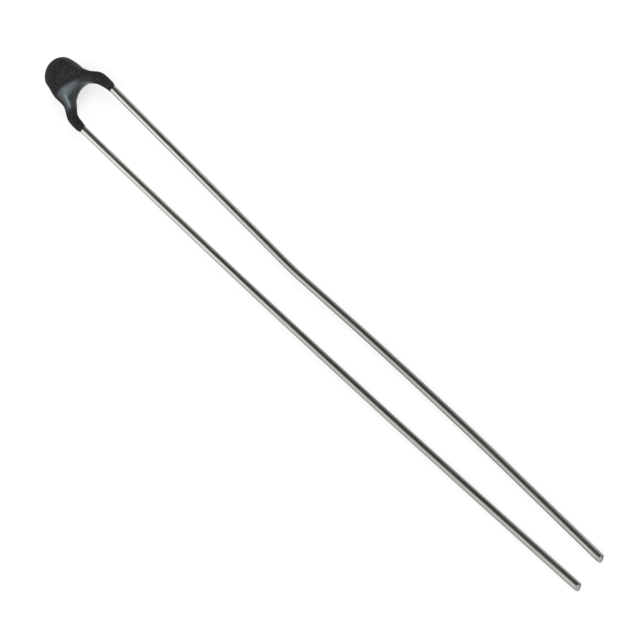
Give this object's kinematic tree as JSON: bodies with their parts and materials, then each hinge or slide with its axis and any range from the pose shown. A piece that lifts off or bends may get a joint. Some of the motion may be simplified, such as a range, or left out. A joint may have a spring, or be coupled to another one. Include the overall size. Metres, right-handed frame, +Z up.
{
  "type": "bead thermistor",
  "caption": "Bead thermistor: a square ceramic chip soldered between kinked lead wires under a dipped charcoal epoxy coat that runs down the wires in short legs; it senses temperature.",
  "frame": {"origin": "on the ground at the middle of the part's box", "axes": "+Y along the leads towards the bead, +X across the leads to the right lead, +Z up from the ground"},
  "size_m": [0.003, 0.0424, 0.0018],
  "materials": {
    "epoxy": "smooth, dull to satin",
    "sensing_ceramic": "fired, sawn to size",
    "silver": "fired silver, matt",
    "solder": "tin solder, dull",
    "tinned_wire": "drawn and tinned, satin"
  },
  "bodies": {
    "root": {"epoxy_coat": "epoxy", "ceramic_chip": "sensing_ceramic", "electrode_left": "silver", "electrode_right": "silver", "solder_left": "solder", "solder_right": "solder", "lead_left": "tinned_wire", "lead_right": "tinned_wire"}
  },
  "joints": []
}
